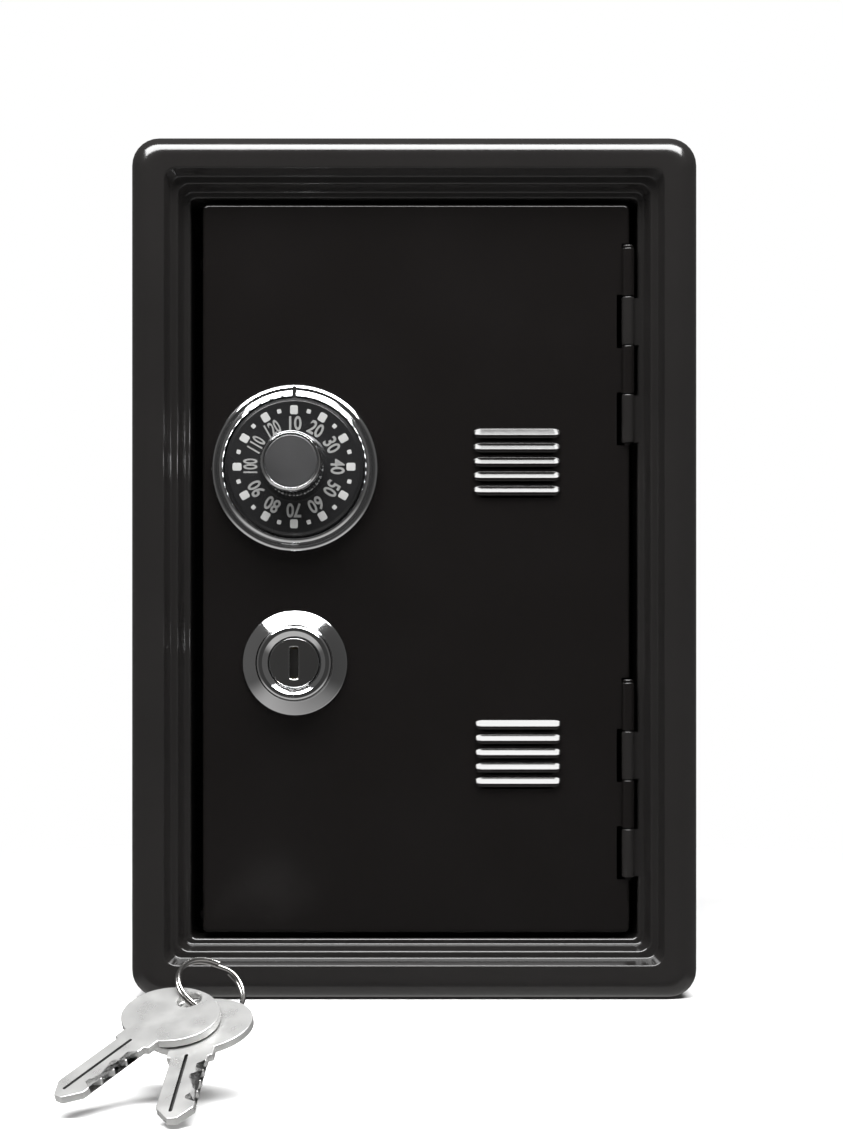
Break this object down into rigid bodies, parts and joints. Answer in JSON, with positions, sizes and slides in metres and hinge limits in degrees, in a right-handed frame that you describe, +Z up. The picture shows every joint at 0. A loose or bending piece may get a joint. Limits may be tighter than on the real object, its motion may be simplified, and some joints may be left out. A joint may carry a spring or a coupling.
{
  "type": "toy safe coin bank",
  "caption": "Small steel toy safe for coins with a hinged front door, combination dial, key lock, louvres and keys on a ring.",
  "frame": {"origin": "centre of the flat base on which the safe stands", "axes": "+Z up, -Y out of the door, +X towards the hinges"},
  "size_m": [0.12, 0.2164, 0.1825],
  "materials": {
    "black_enamel": "gloss",
    "chrome_plate": "polished",
    "dial_plastic": "satin",
    "knob_cap_metal": "satin",
    "zinc_steel": "satin",
    "lock_brass": "satin",
    "key_nickel": "satin"
  },
  "bodies": {
    "safe_body": {"casing_wrap": "black_enamel", "front_frame": "black_enamel", "back_panel": "black_enamel", "back_rivets": "zinc_steel", "upper_hinge_pin": "black_enamel", "lower_hinge_pin": "black_enamel"},
    "door": {"door_panel": "black_enamel", "dial_ring": "chrome_plate", "dial_bush": "lock_brass", "dial_bush_nut": "lock_brass", "lock_housing": "chrome_plate", "lock_nut": "zinc_steel"},
    "dial": {"dial_disc": "dial_plastic", "dial_knob": "chrome_plate", "dial_knob_cap": "knob_cap_metal", "dial_spindle": "zinc_steel", "dial_spring_washer": "zinc_steel", "gate_wheel": "zinc_steel", "gate_wheel_screw": "zinc_steel"},
    "lock_core": {"lock_plug": "chrome_plate", "lock_wafer_1": "lock_brass", "lock_wafer_2": "lock_brass", "lock_wafer_3": "lock_brass", "lock_wafer_4": "lock_brass", "lock_wafer_springs": "zinc_steel", "lock_stop_washer": "zinc_steel", "lock_cam": "zinc_steel", "lock_cam_screw": "zinc_steel"},
    "key_ring": {"key_ring": "key_nickel"},
    "front_key": {"front_key": "key_nickel"},
    "rear_key": {"rear_key": "key_nickel"}
  },
  "joints": [
    {"name": "door_hinge", "type": "hinge", "parent": "safe_body", "child": "door", "pos_m": [0.0456, -0.0446, 0.09125], "axis": [0, 0, 1], "range_deg": [0, 110]},
    {"name": "dial_turn", "type": "hinge", "parent": "door", "child": "dial", "pos_m": [-0.0254, -0.0446, 0.1124], "axis": [0, -1, 0], "continuous": true},
    {"name": "lock_turn", "type": "hinge", "parent": "door", "child": "lock_core", "pos_m": [-0.0254, -0.0446, 0.071], "axis": [0, 1, 0], "range_deg": [0, 90]},
    {"name": "key_ring_lift", "type": "slide", "parent": "safe_body", "child": "key_ring", "axis": [0, 0, 1], "range_m": [0, 0.08]},
    {"name": "front_key_swing", "type": "hinge", "parent": "key_ring", "child": "front_key", "pos_m": [-0.03725, -0.13845, 0.01438], "axis": [0.1409, 0.3953, -0.9077], "range_deg": [0, 25]},
    {"name": "rear_key_swing", "type": "hinge", "parent": "key_ring", "child": "rear_key", "pos_m": [-0.03495, -0.13855, 0.01292], "axis": [-0.1409, -0.3953, 0.9077], "range_deg": [0, 25]}
  ]
}
